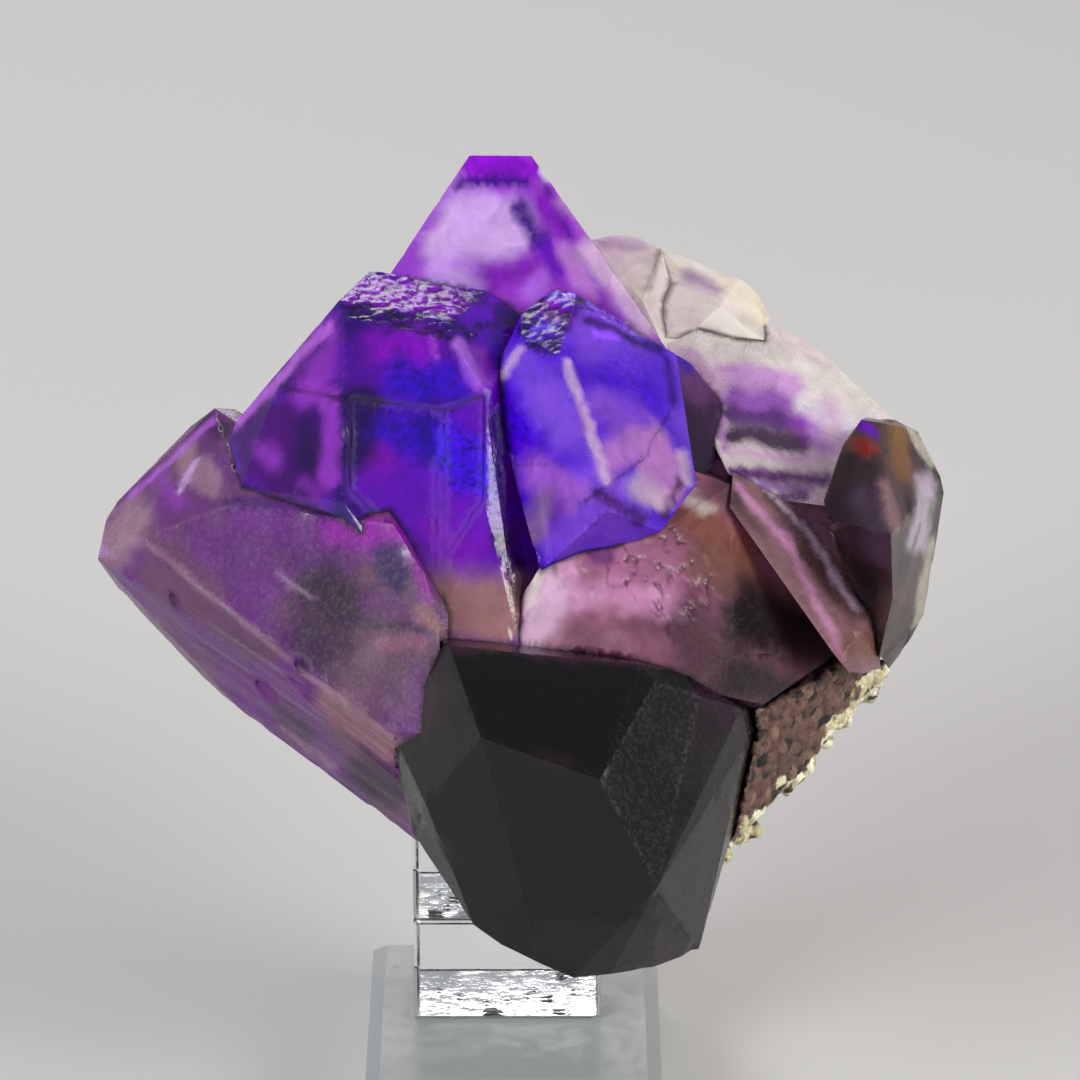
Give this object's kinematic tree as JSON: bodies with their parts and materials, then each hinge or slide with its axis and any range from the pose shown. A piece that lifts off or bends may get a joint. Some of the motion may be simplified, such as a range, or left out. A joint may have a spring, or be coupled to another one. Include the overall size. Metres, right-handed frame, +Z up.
{
  "type": "amethyst crystal cluster on a clear stand",
  "caption": "Violet quartz points grown together on a broken root with a granular matrix crust, resting on clear acrylic blocks and a bevelled square base.",
  "frame": {"origin": "centre of the base plate's underside", "axes": "+Z up, +X to the right of the cluster's display side, +Y to its back"},
  "size_m": [0.1145, 0.107, 0.122],
  "materials": {
    "violet_quartz": "natural crystal faces, glossy, finely striated and etched in places",
    "matrix": "rough granular rock with dark specks",
    "clear_acrylic": "polished clear acrylic"
  },
  "bodies": {
    "root": {"crystal_cluster": "violet_quartz", "matrix_crust": "matrix", "riser_upper": "clear_acrylic", "riser_lower": "clear_acrylic", "base_plate": "clear_acrylic"}
  },
  "joints": []
}
